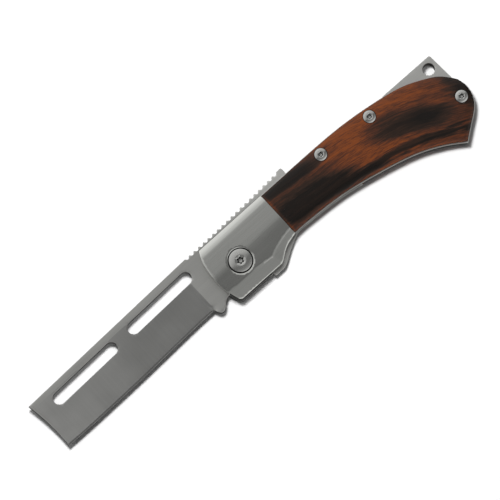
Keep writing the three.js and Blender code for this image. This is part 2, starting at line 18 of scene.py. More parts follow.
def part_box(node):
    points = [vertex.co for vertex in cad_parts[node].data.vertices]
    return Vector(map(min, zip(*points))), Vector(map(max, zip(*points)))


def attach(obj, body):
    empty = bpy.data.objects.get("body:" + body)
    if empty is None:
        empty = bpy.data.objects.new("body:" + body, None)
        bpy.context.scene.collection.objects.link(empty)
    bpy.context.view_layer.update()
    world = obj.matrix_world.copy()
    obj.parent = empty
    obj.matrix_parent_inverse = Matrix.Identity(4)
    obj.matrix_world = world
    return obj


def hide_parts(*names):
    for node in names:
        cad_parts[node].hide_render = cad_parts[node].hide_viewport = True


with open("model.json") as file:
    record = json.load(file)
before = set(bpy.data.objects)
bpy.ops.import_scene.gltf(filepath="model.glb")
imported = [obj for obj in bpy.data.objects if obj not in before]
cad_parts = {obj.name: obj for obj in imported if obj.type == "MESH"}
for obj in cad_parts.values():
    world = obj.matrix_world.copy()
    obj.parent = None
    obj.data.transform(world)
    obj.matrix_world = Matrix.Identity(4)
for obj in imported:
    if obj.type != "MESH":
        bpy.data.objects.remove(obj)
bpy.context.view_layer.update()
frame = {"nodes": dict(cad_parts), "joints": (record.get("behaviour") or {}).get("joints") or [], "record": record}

MM = 0.001
nodes = frame["nodes"]
record = frame["record"]

# %% [markdown]
# ## Outlines from the CAD pieces
# Most of the razor is cut from flat stock, so a piece is its outline plus what is done to its
# faces. Cutting the CAD solid with a plane gives the outline. The solid's curves are short
# straight runs, so a smooth curve is led through them again, and only true corners stay sharp.


# %% Cut a CAD piece with a plane
def loops_of(mesh, z):
    """Closed outlines, in mm, of a mesh cut at height z in mm. The outer one comes first and
    runs counterclockwise, the holes run clockwise, so metal is always on the left."""
    bm = bmesh.new()
    bm.from_mesh(mesh)
    bmesh.ops.remove_doubles(bm, verts=bm.verts, dist=1e-6)
    everything = bm.verts[:] + bm.edges[:] + bm.faces[:]
    cut = bmesh.ops.bisect_plane(
        bm, geom=everything, plane_co=(0, 0, z * MM), plane_no=(0, 0, 1),
        clear_inner=True, clear_outer=True,
    )
    edges = [e for e in cut["geom_cut"] if isinstance(e, bmesh.types.BMEdge)]
    after = {}
    for e in edges:
        for a, b in (e.verts, reversed(e.verts)):
            after.setdefault(a.index, []).append(b.index)
    places = {v.index: (v.co.x / MM, v.co.y / MM) for e in edges for v in e.verts}
    loops, left = [], set(after)
    while left:
        start = min(left)
        chain, previous, here = [start], None, start
        left.discard(start)
        while True:
            ahead = [i for i in after[here] if i != previous and i in left]
            if not ahead:
                break
            previous, here = here, ahead[0]
            left.discard(here)
            chain.append(here)
        if len(chain) > 2:
            loops.append(without_straight_points(np.array([places[i] for i in chain])))
    bm.free()
    loops.sort(key=lambda loop: -abs(area(loop)))
    return [loop if (area(loop) > 0) == (i == 0) else loop[::-1] for i, loop in enumerate(loops)]


def area(loop):
    x, y = loop[:, 0], loop[:, 1]
    return 0.5 * float(np.sum(x * np.roll(y, -1) - np.roll(x, -1) * y))


def without_straight_points(loop):
    """Drops the points that lie on the line between their neighbours."""
    before, after = np.roll(loop, 1, 0), np.roll(loop, -1, 0)
    chord = after - before
    off = np.abs(chord[:, 0] * (loop - before)[:, 1] - chord[:, 1] * (loop - before)[:, 0])
    return loop[off > 0.002 * np.maximum(np.hypot(*chord.T), 1e-6)]


blade_low, blade_high = (corner.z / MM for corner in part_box("blade"))
blade_middle = (blade_low + blade_high) / 2
rough = loops_of(nodes["blade"].data, blade_middle)
print("blade outline", len(rough[0]), "points,", len(rough) - 1, "openings")


# %% Lead a smooth curve through an outline
def smoothed(loop, step=1.2, corner=math.radians(26), long_run=3.0):
    """A closed outline with a cubic led through its points between its corners. A run much
    longer than its neighbours is a straight one and stays so."""
    run = np.roll(loop, -1, 0) - loop
    length = np.hypot(*run.T)
    ahead = run / length[:, None]
    behind = np.roll(ahead, 1, 0)
    turn = np.abs(np.arctan2(
        behind[:, 0] * ahead[:, 1] - behind[:, 1] * ahead[:, 0], np.sum(behind * ahead, 1)))
    before = np.roll(length, 1)
    weight = (before / (before + length))[:, None]
    tangent = behind * (1 - weight) + ahead * weight
    straight = (length > long_run * before) & (length > long_run * np.roll(length, -1))
    points = []
    count = len(loop)
    for i in range(count):
        j = (i + 1) % count
        start = ahead[i] if turn[i] > corner or straight[i] else tangent[i]
        end = ahead[i] if turn[j] > corner or straight[i] else tangent[j]
        if straight[i - 1] and turn[i] <= corner:
            start = ahead[i - 1]
        if straight[j] and turn[j] <= corner:
            end = ahead[j]
        pieces = max(1, math.ceil(length[i] / step))
        t = (np.arange(pieces) / pieces)[:, None]
        t2, t3 = t * t, t * t * t
        points.append(
            (2 * t3 - 3 * t2 + 1) * loop[i] + (t3 - 2 * t2 + t) * start * length[i]
            + (3 * t2 - 2 * t3) * loop[j] + (t3 - t2) * end * length[i])
    return np.vstack(points)


def outlines(node, z, step=1.2):
    return [smoothed(loop, step) for loop in loops_of(nodes[node].data, z)]


blade_loops = outlines("blade", blade_middle)
print("blade outline smoothed to", len(blade_loops[0]), "points")

# %% [markdown]
# ## Plates with shaped faces
# A plate's face isn't only flat: the blade is ground, the bolsters are bevelled, the wood is
# rounded. So a plate is made as two height maps over one outline. A constrained Delaunay net
# follows the outline, the rings where its edge is rounded and any line that has to stay crisp,
# and a function gives the height of each point. This keeps every hole and notch exact, which a
# subdivided block or a boolean would not.


# %% Distances and insides
def distance(points, lines):
    """The distance from each point to the nearest of some polylines."""
    best = np.full(len(points), 1e9)
    for line in lines:
        a, b = line[:-1], line[1:]
        run = b - a
        size = np.maximum(np.sum(run * run, 1), 1e-12)
        for part in range(0, len(points), 4000):
            p = points[part:part + 4000, None, :]
            t = np.clip(np.sum((p - a) * run, 2) / size, 0, 1)[..., None]
            gap = np.hypot(*np.moveaxis(p - (a + t * run), 2, 0)).min(1)
            best[part:part + 4000] = np.minimum(best[part:part + 4000], gap)
    return best


def closed(loop):
    return np.vstack([loop, loop[:1]])


def inside(points, loops):
    """True where a point is inside an odd number of the loops."""
    odd = np.zeros(len(points), bool)
    for loop in loops:
        a, b = loop, np.roll(loop, -1, 0)
        for p in range(0, len(points), 4000):
            x, y = points[p:p + 4000, 0, None], points[p:p + 4000, 1, None]
            spans = (a[:, 1] > y) != (b[:, 1] > y)
            rise = np.where(b[:, 1] == a[:, 1], 1e-9, b[:, 1] - a[:, 1])
            crossing = a[:, 0] + (y - a[:, 1]) * (b[:, 0] - a[:, 0]) / rise
            odd[p:p + 4000] ^= (np.sum(spans & (x < crossing), 1) % 2).astype(bool)
    return odd


def moved_in(loop, by):
    """A closed outline moved to its left by a distance."""
    ahead = np.roll(loop, -1, 0) - loop
    ahead = ahead / np.hypot(*ahead.T)[:, None]
    behind = np.roll(ahead, 1, 0)
    middle = ahead + behind
    middle = middle / np.maximum(np.hypot(*middle.T), 1e-6)[:, None]
    reach = by / np.maximum(0.6, np.abs(np.sum(middle * ahead, 1)))
    return loop + np.stack([-middle[:, 1], middle[:, 0]], 1) * reach[:, None]


def circle(centre, radius, count=48):
    a = 2 * math.pi * np.arange(count) / count
    return np.stack([centre[0] + radius * np.cos(a), centre[1] + radius * np.sin(a)], 1)


print("a point in a slot is outside the blade:",
      not inside(blade_loops[1].mean(0)[None], blade_loops)[0])

# %% Make an object
def mesh_object(name, verts, faces, finishes, slots=None, sharp=math.radians(40)):
    """An object from points in mm, shaded smooth except at edges sharper than an angle."""
    mesh = bpy.data.meshes.new(name)
    mesh.from_pydata([tuple(c * MM for c in v) for v in verts], [], faces)
    mesh.validate()
    for finish in finishes:
        mesh.materials.append(finish)
    if slots is not None:
        mesh.polygons.foreach_set("material_index", np.asarray(slots, np.int32))
    mesh.shade_smooth()
    mesh.set_sharp_from_angle(angle=sharp)
    obj = bpy.data.objects.new(name, mesh)
    bpy.context.scene.collection.objects.link(obj)
    weigh = obj.modifiers.new("weighted normals", "WEIGHTED_NORMAL")
    weigh.keep_sharp = True
    weigh.weight = 100
    return obj


def fit(piece, body, slot, *stands_for):
    """The piece moves with a body and stands for CAD nodes; slot is not used."""
    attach(piece, body)
    if stands_for:
        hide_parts(*stands_for)
    print(f"{piece.name}: {len(piece.data.polygons)} faces")


# %% Make a plate
ROLL = (0.08, 0.32, 1.0)  # where the rings of a rounded edge lie, as shares of its radius


def plate(name, loops, top, bottom, finishes, edge=0.12, pitch=2.0, lines=(), choose=None):
    """A plate between two height functions of (x, y), all in mm. Its edges are rounded by edge,
    its net keeps the extra lines, and choose(x, y, side) picks each face's finish."""
    walls = [closed(loop) for loop in loops]
    points, links, border = [], [], []

    def follow(line, ring):
        first = len(points)
        points.extend(map(tuple, line))
        last = len(line) if ring else len(line) - 1
        links.extend((first + i, first + (i + 1) % len(line)) for i in range(last))
        return first

    for loop in loops:
        border.append((follow(loop, True), len(loop)))
        for share in ROLL:
            follow(moved_in(loop, edge * share), True)
    for line, ring in lines:
        follow(line, ring)
    (x0, y0), (x1, y1) = loops[0].min(0), loops[0].max(0)
    gx, gy = np.meshgrid(np.arange(x0, x1, pitch), np.arange(y0, y1, pitch))
    grid = np.stack([gx.ravel(), gy.ravel()], 1)
    grid = grid[inside(grid, loops)]
    kept = walls + [closed(line) if ring else line for line, ring in lines]
    grid = grid[distance(grid, kept) > edge + 0.4 * pitch]
    points.extend(map(tuple, grid))
    made = delaunay_2d_cdt([Vector(p) for p in points], links, [], 0, 1e-5, True)
    xy = np.array([tuple(v) for v in made[0]])
    where = {i: k for k, ids in enumerate(made[3]) for i in ids}
    tris = np.array([f for f in made[2]])
    tris = tris[inside(xy[tris].mean(1), loops)]
    high, low = top(*xy.T), bottom(*xy.T)
    radius = np.maximum(np.minimum(edge, 0.45 * (high - low)), 1e-4)
    part = np.clip(1 - distance(xy, walls) / radius, 0, 1)
    roll = radius * (1 - np.sqrt(1 - part * part))
    verts = np.vstack([np.column_stack([xy, high - roll]), np.column_stack([xy, low + roll])])
    n = len(xy)
    faces = [tuple(t) for t in tris] + [tuple(t[::-1] + n) for t in tris]
    sides = [1] * len(tris) + [-1] * len(tris)
    for first, count in border:
        for i in range(count):
            a, b = where[first + i], where[first + (i + 1) % count]
            faces.append((a, a + n, b + n, b))
            sides.append(0)
    slots = None
    if choose is not None:
        centres = np.array([verts[list(f)].mean(0) for f in faces])
        slots = choose(centres[:, 0], centres[:, 1], np.array(sides))
    return mesh_object(name, verts, faces, finishes, slots)


def level(z):
    return lambda x, y: np.full(np.shape(x), float(z))


print("rings of a rounded edge:", ROLL)

# %% [markdown]
# ## Turned pieces
# Screws, pins, washers and the pivot are turned on a lathe, and some have a six-lobe socket.
# A curve spun by a Screw modifier would do for the round ones but not for the socket. So they are
# made as rings joined by quads. A ring's radius may change with the angle, and the lobed wall of
# a socket is only three more rings.


# %% Make a turned piece
def turned(name, rings, centre, finishes, count=96, sharp=math.radians(32), dark=()):
    """A body of rings (radius, z) about a Z axis, from the middle of the lower end to the middle
    of the upper end. A radius is a number or a function of the angle. The bands that start at
    the rings numbered in dark get the second finish, painted shade."""
    angles = 2 * np.pi * np.arange(count) / count
    verts, faces, bands = [(*centre, rings[0][1])], [], []
    for radius, z in rings[1:-1]:
        r = radius(angles) if callable(radius) else np.full(count, radius)
        verts.extend(zip(centre[0] + r * np.cos(angles), centre[1] + r * np.sin(angles),
                         np.full(count, z)))
    verts.append((*centre, rings[-1][1]))
    last, middle = len(verts) - 1, len(rings) - 2
    for i in range(count):
        j = (i + 1) % count
        faces.append((0, 1 + j, 1 + i))
        faces.append((last, 1 + (middle - 1) * count + i, 1 + (middle - 1) * count + j))
        bands.extend((0, middle))
        for k in range(middle - 1):
            a, b = 1 + k * count, 1 + (k + 1) * count
            faces.append((a + i, a + j, b + j, b + i))
            bands.append(k + 1)
    slots = np.isin(bands, dark).astype(int) if len(dark) else None
    return mesh_object(name, verts, faces, finishes, slots, sharp)


def lobed(radius):
    """The wall of a six-lobe socket."""
    return lambda a: radius * (0.86 + 0.14 * np.cos(6 * a))


def centre_of(node):
    low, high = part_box(node)
    return (low.x + high.x) / 2 / MM, (low.y + high.y) / 2 / MM


def size_of(node):
    """Lowest z, highest z and radius of a round CAD node, in mm."""
    low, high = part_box(node)
    return low.z / MM, high.z / MM, (high.x - low.x) / 2 / MM


print("pivot screw", [round(v, 2) for v in size_of("pivot_screw")])

# %% [markdown]
# ## Finishes as expressions
# A finish is a small net of shader nodes. It could be wired up by hand in the node editor, but
# written as arithmetic it stays readable: a Wire is one output of a node, and adding or
# multiplying wires adds the Math nodes. Colours and directions go through Vector Math nodes,
# because a Math node would turn a colour grey. The sky is a net of the same kind.


# %% Wires
class Wire:
    """One output socket of a shader node, on which arithmetic adds Math nodes."""

    def __init__(self, net, socket):
        self.net = net
        self.socket = socket

    def math(self, operation, *values):
        return self.net.node("ShaderNodeMath", {"operation": operation}, dict(enumerate(values)))

    def __add__(self, other):
        return self.math("ADD", self, other)

    def __radd__(self, other):
        return self.math("ADD", other, self)

    def __sub__(self, other):
        return self.math("SUBTRACT", self, other)

    def __rsub__(self, other):
        return self.math("SUBTRACT", other, self)

    def __mul__(self, other):
        return self.math("MULTIPLY", self, other)

    def __rmul__(self, other):
        return self.math("MULTIPLY", other, self)

    def __truediv__(self, other):
        return self.math("DIVIDE", self, other)

    def __rtruediv__(self, other):
        return self.math("DIVIDE", other, self)

    def clamp(self):
        return self.math("MAXIMUM", self.math("MINIMUM", self, 1.0), 0.0)

    def largest(self, other):
        return self.math("MAXIMUM", self, other)

    def size(self):
        return self.math("ABSOLUTE", self)

    def fade(self, low, high):
        """0 below low, 1 above high and smooth between; turned round if high is below low."""
        span = {"Value": self, "From Min": low, "From Max": high, "To Min": 0.0, "To Max": 1.0}
        return self.net.node("ShaderNodeMapRange", {"interpolation_type": "SMOOTHSTEP"}, span)


class Net:
    """The shader nodes of one material, or of the sky."""

    def __init__(self, tree):
        self.tree = tree

    def node(self, kind, settings=None, inputs=None, out=0):
        """Adds a node, sets it up, joins or fills its sockets and returns one output."""
        made = self.tree.nodes.new(kind)
        for key, value in (settings or {}).items():
            if key == "stops":
                self.set_stops(made.color_ramp, value)
            else:
                setattr(made, key, value)
        for key, value in (inputs or {}).items():
            self.join(value, made.inputs[key])
        return Wire(self, made.outputs[out])

    def set_stops(self, ramp, stops):
        while len(ramp.elements) < len(stops):
            ramp.elements.new(0.5)
        for element, (place, colour) in zip(ramp.elements, stops):
            element.position = place
            element.color = (*colour, 1.0)

    def join(self, value, socket):
        if isinstance(value, Wire):
            self.tree.links.new(value.socket, socket)
        else:
            socket.default_value = value


print("nets take stops, settings, values and wires")


# %% Finishes
class Finish(Net):
    """A material on one Principled shader, built from wires."""

    def __init__(self, name, **constants):
        self.material = bpy.data.materials.new(name)
        self.material.use_nodes = True
        super().__init__(self.material.node_tree)
        self.shader = self.tree.nodes["Principled BSDF"]
        self.feed(**constants)

    def feed(self, **values):
        """Joins wires to the shader's own sockets, or sets them to a constant."""
        for socket, value in values.items():
            self.join(value, self.shader.inputs[socket.replace("_", " ")])
        return self.material

    def place(self, per_mm=(1, 1, 1), shift=(0, 0, 0)):
        """The point on the piece in mm, stretched along each axis and shifted."""
        here = self.node("ShaderNodeTexCoord", out="Object")
        stretch = [rate / MM for rate in per_mm]
        scaled = self.node("ShaderNodeVectorMath", {"operation": "MULTIPLY"}, {0: here, 1: stretch})
        return self.node("ShaderNodeVectorMath", {"operation": "ADD"}, {0: scaled, 1: shift})

    def axes(self):
        """x, y and z in mm."""
        here = self.place()
        return [self.node("ShaderNodeSeparateXYZ", None, {0: here}, out) for out in "XYZ"]

    def noise(self, where, detail=3.0, rough=0.5):
        """Soft noise from 0 to 1."""
        inputs = {"Vector": where, "Scale": 1.0, "Detail": detail, "Roughness": rough}
        return self.node("ShaderNodeTexNoise", {"noise_dimensions": "3D"}, inputs, "Fac")

    def bump(self, height, distance, strength=1.0):
        inputs = {"Height": height, "Distance": distance * MM, "Strength": strength}
        return self.node("ShaderNodeBump", None, inputs, "Normal")


print("finish helpers ready")

# %% [markdown]
# ## Steel finishes
# Every metal piece is stainless steel, and most of what sets them apart is the last tool that
# touched them. The blade is ground on a belt across its width, which leaves fine lines from spine
# to edge and a soft grey, painted a little paler towards the tip as painted light. The bolsters are
# polished along their length, liners are brushed sheet, and screws are turned and tumbled. Some
# steels are painted shade: a darker one on the liners' faces that look into the handle and on the
# honed bevel, and a near-black one in recesses and on the walls of sockets. A flat image of steel
# could be wrapped round the pieces, but it would stretch and repeat. Noise stretched along the
# tool's path does neither, and it changes colour, roughness and bump together, as real scratches do.


# %% Steel
def steel(name, colour, roughness, along, across, grain=0.06, depth=0.006, patch=0.05,
          lighter=(0.0, 0.0), **more):
    """Steel with tool marks. along and across are the noise's cycles per mm on each axis, for
    fine and for broad marks. lighter is the x in mm from where the tone rises, and its rise per
    mm: past that x where the rise is above 0, before it where the rise is below 0."""
    f = Finish(name, Metallic=1.0, **more)
    fine = f.noise(f.place(along), detail=4.0, rough=0.6)
    broad = f.noise(f.place(across, (7.0, 3.0, 1.0)), detail=3.0, rough=0.5)
    cloud = f.noise(f.place((0.06, 0.09, 0.09), (2.0, 5.0, 0.0)), detail=2.0)
    tone = 1.0 + grain * (fine - 0.5) + 1.2 * grain * (broad - 0.5) + patch * (cloud - 0.5)
    tone = tone + (lighter[1] * (f.axes()[0] - lighter[0])).largest(0.0)
    shade = f.node("ShaderNodeVectorMath", {"operation": "SCALE"}, {0: colour, "Scale": tone})
    wear = roughness + 0.25 * roughness * (fine - 0.5) + 0.5 * roughness * (cloud - 0.5)
    marks = f.bump(0.7 * fine + 0.3 * broad, depth)
    return f.feed(Base_Color=shade, Roughness=wear, Normal=marks)


# Painted light: the ground face's grey rises towards the tip, where more light falls on it.
GROUND = steel("blade_ground_face", (0.38, 0.38, 0.368), 0.42, (3.5, 0.05, 1.0), (0.9, 0.03, 0.4),
               grain=0.12, depth=0.003, lighter=(-30.0, -0.0065))
FLATS = steel("blade_flats", (0.56, 0.56, 0.537), 0.36, (0.05, 3.5, 1.0), (0.03, 0.8, 0.4),
              grain=0.12, depth=0.004, lighter=(-4.0, 0.013))
# Painted shade: the honed bevel is drawn in a darker steel, a painted dark reflection.
HONED_SHADE = steel("honed_edge_painted_shade", (0.32, 0.32, 0.31), 0.22, (0.08, 3.0, 1.0), (0.03, 1.2, 0.4),
              grain=0.08, depth=0.002)
POLISHED = steel("bolster_polish", (0.62, 0.625, 0.595), 0.13, (0.04, 2.6, 1.0),
                 (0.02, 0.7, 0.3), grain=0.10, depth=0.003)
BRUSHED = steel("liner_brushed", (0.74, 0.74, 0.71), 0.34, (0.06, 3.0, 3.0), (0.03, 0.8, 0.8),
                grain=0.10, depth=0.004)
# Painted shade: the liners' faces that look into the handle are drawn in this dark steel.
INSIDE_SHADE = steel("liner_inside_painted_shade", (0.22, 0.22, 0.215), 0.5, (0.06, 3.0, 3.0), (0.03, 0.8, 0.8))
TURNED = steel("screw_steel", (0.52, 0.52, 0.50), 0.26, (1.4, 1.4, 1.4), (0.4, 0.4, 0.4),
               grain=0.10, depth=0.003)
# Painted shade: near-black steel put in the recesses round heads and on the walls of sockets, where shade falls.
RECESS_SHADE = steel("recess_painted_shade", (0.05, 0.05, 0.05), 0.6, (1.4, 1.4, 1.4), (0.4, 0.4, 0.4))
BRONZE = steel("bearing_bronze", (0.55, 0.36, 0.16), 0.35, (1.5, 1.5, 1.5), (0.4, 0.4, 0.4),
               grain=0.10, depth=0.003)
print("steels made")

# %% [markdown]
# ## Dyed laminated wood
# The scales are thin veneers, dyed red-brown and black, pressed together and then cut at a
# shallow angle, so that the layers come out as long curved bands. Fine pores run along the
# bands. A flow height bends with the bands: stripes, pores and colour are all noise of that one
# height, which keeps them parallel as they are in real wood. Soft dark stains lie over them
# where the black dye soaked deeper. A clear lacquer coat gives the gloss. A scan of real wood
# would do for one flat face, but nodes run through the whole solid, so the rounded rims and the
# ends show the same bands cut at another angle.


# %% Wood
DYE = ((0.0, (0.005, 0.0045, 0.004)), (0.28, (0.024, 0.013, 0.009)),
       (0.55, (0.068, 0.022, 0.011)), (1.0, (0.165, 0.042, 0.010)))
# Stains of black dye: how deep, then x, flow height, half length and half width in mm
STAINS = ((0.36, 36.0, 8.6, 17.0, 3.2), (0.50, 36.0, -3.0, 17.0, 3.6), (0.60, 80.5, 3.0, 13.5, 5.6),
          (0.62, 76.0, -6.7, 28.0, 1.9), (0.45, 109.0, 12.0, 7.0, 12.0))


def dyed_wood():
    f = Finish("dyed_wood", Coat_Weight=0.18, Coat_Roughness=0.15, Specular_IOR_Level=0.12)
    x, y, z = f.axes()
    rear = (x - 55.0).largest(0.0)
    flow = y + 0.12 * (x - 55.0) + 0.005 * rear * rear
    sway = f.noise(f.place((0.05, 0.10, 0.1)), detail=2.0) - 0.5
    band = flow + 2.5 * sway

    def along(x_rate, band_rate, shift, detail=3.0):
        vector = f.node("ShaderNodeCombineXYZ", None,
                        {0: x_rate * x + shift, 1: band_rate * band, 2: 0.3 * z + shift})
        return f.noise(vector, detail=detail, rough=0.65)

    def stain(cx, cy, rx, ry):
        """1 in the middle of an oval stain that lies along the bands, 0 well outside."""
        dx = (x - cx + 7.0 * (along(0.12, 0.4, cx) - 0.5)) / rx
        dy = (flow - cy + 6.0 * (along(0.08, 0.6, cy + 3.0) - 0.5)) / ry
        return (dx * dx + dy * dy).fade(2.1, 0.1)

    veneers = along(0.020, 0.55, 1.0, 4.0)
    pores = along(0.35, 3.4, 5.0, 4.0)
    lines = along(0.05, 1.9, 9.0, 4.0)
    dye = 0.80 + 0.5 * (veneers - 0.5)
    front = (x + 8.0 * (lines - 0.5) + 0.8 * flow).fade(62.0, 42.0)
    dye = dye - 0.50 * front
    for depth, *spot in STAINS:
        dye = dye - depth * stain(*spot)
    dye = dye - 0.34 * (x + 5.0 * (veneers - 0.5) - 0.5 * flow).fade(76.0, 98.0)
    # Painted highlight: the dye is lighter and redder on the rounded rim, where light catches it, fading out
    # towards the butt; it is also lighter along the joint with the bolster.
    rim = (z - 6.0).size().fade(5.7, 4.9) * (104.0 - x).fade(0.0, 16.0)
    joint = (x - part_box("front_scale")[0].x / MM).fade(1.5, 0.0)
    dye = dye.largest(0.03) + 0.32 * rim.largest(joint) + 0.35 * (veneers - 0.42).largest(0.0)
    dye = dye * (1.0 + 0.9 * (lines - 0.5) + 2.2 * (pores - 0.5))
    wood = f.node("ShaderNodeValToRGB", {"stops": DYE}, {"Fac": dye.clamp()})
    gloss = 0.24 + 0.12 * (pores - 0.5)
    return f.feed(Base_Color=wood, Roughness=gloss, Normal=f.bump(pores, 0.02, 0.35))


WOOD = dyed_wood()
print("wood made")

# %% [markdown]
# ## The blade
# A flat bar 3 mm thick, ground on both sides from a line near the spine down to the edge, so it
# is a long thin wedge. The grinding wheel leaves a rounded step, the plunge, where it stops in
# front of the tang. A last narrow bevel is honed along the edge. Cutting these with booleans
# would leave ragged nets, so all three are one height function: how much is taken off each side
# at (x, y). The rear face has one more mark, a shallow dimple in the tang that the lock bar's
# ball drops into when the blade is shut. Its place and depth are measured on the CAD piece.


# %% Ground blade
GRIND_TOP = 11.7
PLUNGE_X = -19.1
PLUNGE_WIDTH = 1.5
PLUNGE_END = PLUNGE_X + 0.25  # where the ground step has run out
EDGE_THICKNESS = 0.35
HONE_WIDTH = 0.75
HONE_DEPTH = 0.12
EDGE_CURVE = 1.2  # the edge rises less than this above its lowest point
lowest_y = blade_loops[0][blade_loops[0][:, 0] < PLUNGE_X, 1].min()
heel_low = blade_loops[0][(blade_loops[0][:, 1] < lowest_y + EDGE_CURVE)
                          & (blade_loops[0][:, 0] < PLUNGE_X)]
heel_low = heel_low[np.argsort(heel_low[:, 0])]
edge_y = float(np.median(heel_low[:, 1]))
full = blade_high - blade_low
grind_slope = (full - EDGE_THICKNESS) / 2 / (GRIND_TOP - edge_y)

dimple = min(outlines("blade", blade_low + 0.25), key=lambda loop: np.ptp(loop[:, 0]))
dimple_at, dimple_radius = dimple.mean(0), np.ptp(dimple[:, 0]) / 2
spots = np.array([tuple(v.co) for v in nodes["blade"].data.vertices]) / MM
near = np.hypot(*(spots[:, :2] - dimple_at).T) < dimple_radius + 0.1
dimple_depth = spots[near & (spots[:, 2] < blade_middle), 2].max() - blade_low
print("dimple", dimple_at.round(2), round(dimple_radius, 2), "wide,", round(dimple_depth, 2), "deep")


def taken_off(x, y):
    """How deep one face of the blade is ground."""
    reach = np.clip((PLUNGE_END - x) / PLUNGE_WIDTH, 0, 1)
    wheel = reach * reach * (3 - 2 * reach)
    wedge = grind_slope * np.clip(GRIND_TOP - y, 0, None)
    above_edge = y - np.interp(x, heel_low[:, 0], heel_low[:, 1])
    hone = HONE_DEPTH * np.clip(1 - above_edge / HONE_WIDTH, 0, 1)
    return wheel * np.minimum(wedge + hone, full / 2 - 0.03)


def blade_zone(x, y, side):
    """0 on the ground faces, 1 on the flats and the rim, 2 on the honed bevel."""
    above_edge = y - np.interp(x, heel_low[:, 0], heel_low[:, 1])
    ground = (x < PLUNGE_X) & (y < GRIND_TOP)
    honed = (x < PLUNGE_X - 1) & (above_edge < HONE_WIDTH) & (y < 0)
    return np.where(side == 0, 1, np.where(honed, 2, np.where(ground, 0, 1)))


tip_x = blade_loops[0][:, 0].min()
xs = np.linspace(tip_x + 0.6, PLUNGE_X - 1.6, 60)
hone_line = np.stack([xs, np.interp(xs, heel_low[:, 0], heel_low[:, 1]) + HONE_WIDTH], 1)
plunge_y = np.arange(edge_y + 2.5, GRIND_TOP, 0.7)
plunge = [np.array([(PLUNGE_END - PLUNGE_WIDTH * share, y) for y in plunge_y])
          for share in (0.0, 0.2, 0.4, 0.6, 0.8, 1.0)]
slot_walls = [closed(loop) for loop in blade_loops[1:]]


def clear_of_slots(line, gap=0.4):
    """The points of a line that lie in the steel and keep off the slots' walls."""
    good = inside(line, blade_loops) & (distance(line, slot_walls) > gap)
    return line[good]


def rear_face(x, y):
    sunk = np.hypot(x - dimple_at[0], y - dimple_at[1]) < dimple_radius
    return blade_low + taken_off(x, y) + dimple_depth * sunk


net_lines = [(hone_line, False)] + [(clear_of_slots(line), False) for line in plunge]
net_lines += [(circle(dimple_at, dimple_radius + d, 32), True) for d in (-0.012, 0.005)]
blade = plate(
    "blade_steel_body", blade_loops, lambda x, y: blade_high - taken_off(x, y), rear_face,
    [GROUND, FLATS, HONED_SHADE], edge=0.14, pitch=1.3, lines=net_lines, choose=blade_zone,
)
fit(blade, "blade", "blade_steel", "blade")

# %% [markdown]
# ## Liners, lock bar and butt spacer
# These are blanked from sheet and deburred. A cube could be scaled to the thickness and cut, but
# their outlines are all curves and notches, so they are plain plates with softly broken edges.
# The faces that look into the handle are painted darker, painted shade for the handle's dark inside.


# %% Sheet pieces
NEITHER = 2  # no side of a plate has this number


def shade_inside(inner_side):
    """Paints the side that looks into the handle darker, as painted shade."""
    return lambda x, y, side: np.where(side == inner_side, 1, 0)


for name, inner_side in (("front_liner", -1), ("rear_liner", 1), ("butt_spacer", NEITHER)):
    low, high = (corner.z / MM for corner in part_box(name))
    sheet = plate(f"{name}_sheet", outlines(name, (low + high) / 2), level(high), level(low),
                  [BRUSHED, INSIDE_SHADE], edge=0.15, pitch=4.0, choose=shade_inside(inner_side))
    fit(sheet, "handle", "liner_steel", name)

# %% [markdown]
# ## The lock bar
# The bar is a spring cut from the same sheet and bent inwards at its root, so that it jumps
# behind the tang when the blade is open. It could be bent with a deform modifier. Here it is
# drawn flat, as it was cut, and then leaned in about its root by the angle that its joint takes
# up while the blade shuts, which is how the CAD piece leans too. A small hard ball is pressed
# into it and turned like the screws, as a row of rings.

# %% Lock bar
bar_joint = next(j for j in frame["joints"] if j["child"] == "lock_bar")
pivot_joint = next(j for j in frame["joints"] if j["child"] == "blade")
follow = record["behaviour"]["couplings"][0]["ratio"]
lean = math.radians(follow * pivot_joint["range_deg"][1])
root = Vector(bar_joint["pos_m"])
leaned = Matrix.Translation(root) @ Matrix.Rotation(lean, 4, "Y") @ Matrix.Translation(-root)
flat_bar = nodes["lock_bar"].data.copy()
flat_bar.transform(leaned.inverted())
bar_z = [v.co.z / MM for v in flat_bar.vertices]
bar_low, bar_high = min(bar_z), max(bar_z)
bar_loops = [smoothed(loop) for loop in loops_of(flat_bar, (bar_low + bar_high) / 2)]
bar = plate("lock_bar_spring", bar_loops, level(bar_high), level(bar_low), [BRUSHED],
            edge=0.12, pitch=4.0)
bar.data.transform(leaned)
fit(bar, "lock_bar", "liner_steel", "lock_bar")
print("lean", round(math.degrees(lean), 2), "deg, sheet", round(bar_high - bar_low, 2), "mm")

# %% Detent ball
low, high, radius = size_of("detent_ball")
steps = [math.pi * i / 16 for i in range(17)]
ball = [(radius * math.sin(a), (low + high) / 2 - radius * math.cos(a)) for a in steps]
fit(turned("detent_ball_bearing", ball, centre_of("detent_ball"), [TURNED], 32, math.pi),
    "lock_bar", "screw_steel", "detent_ball")

# %% [markdown]
# ## Bolsters
# The bolsters are thick steel plates, polished after their edges are shaped: a broad rounded
# bevel along the back, a long face that folds down a little below its middle, and below that a
# facet that follows the lower edge and the thumb cut-out up to a crisp ridge. Their last corner
# is broken with a stone. The pivot's head sits in a round recess. A bevel modifier would give
# every edge the same width, so each of these is a term of the height function instead.


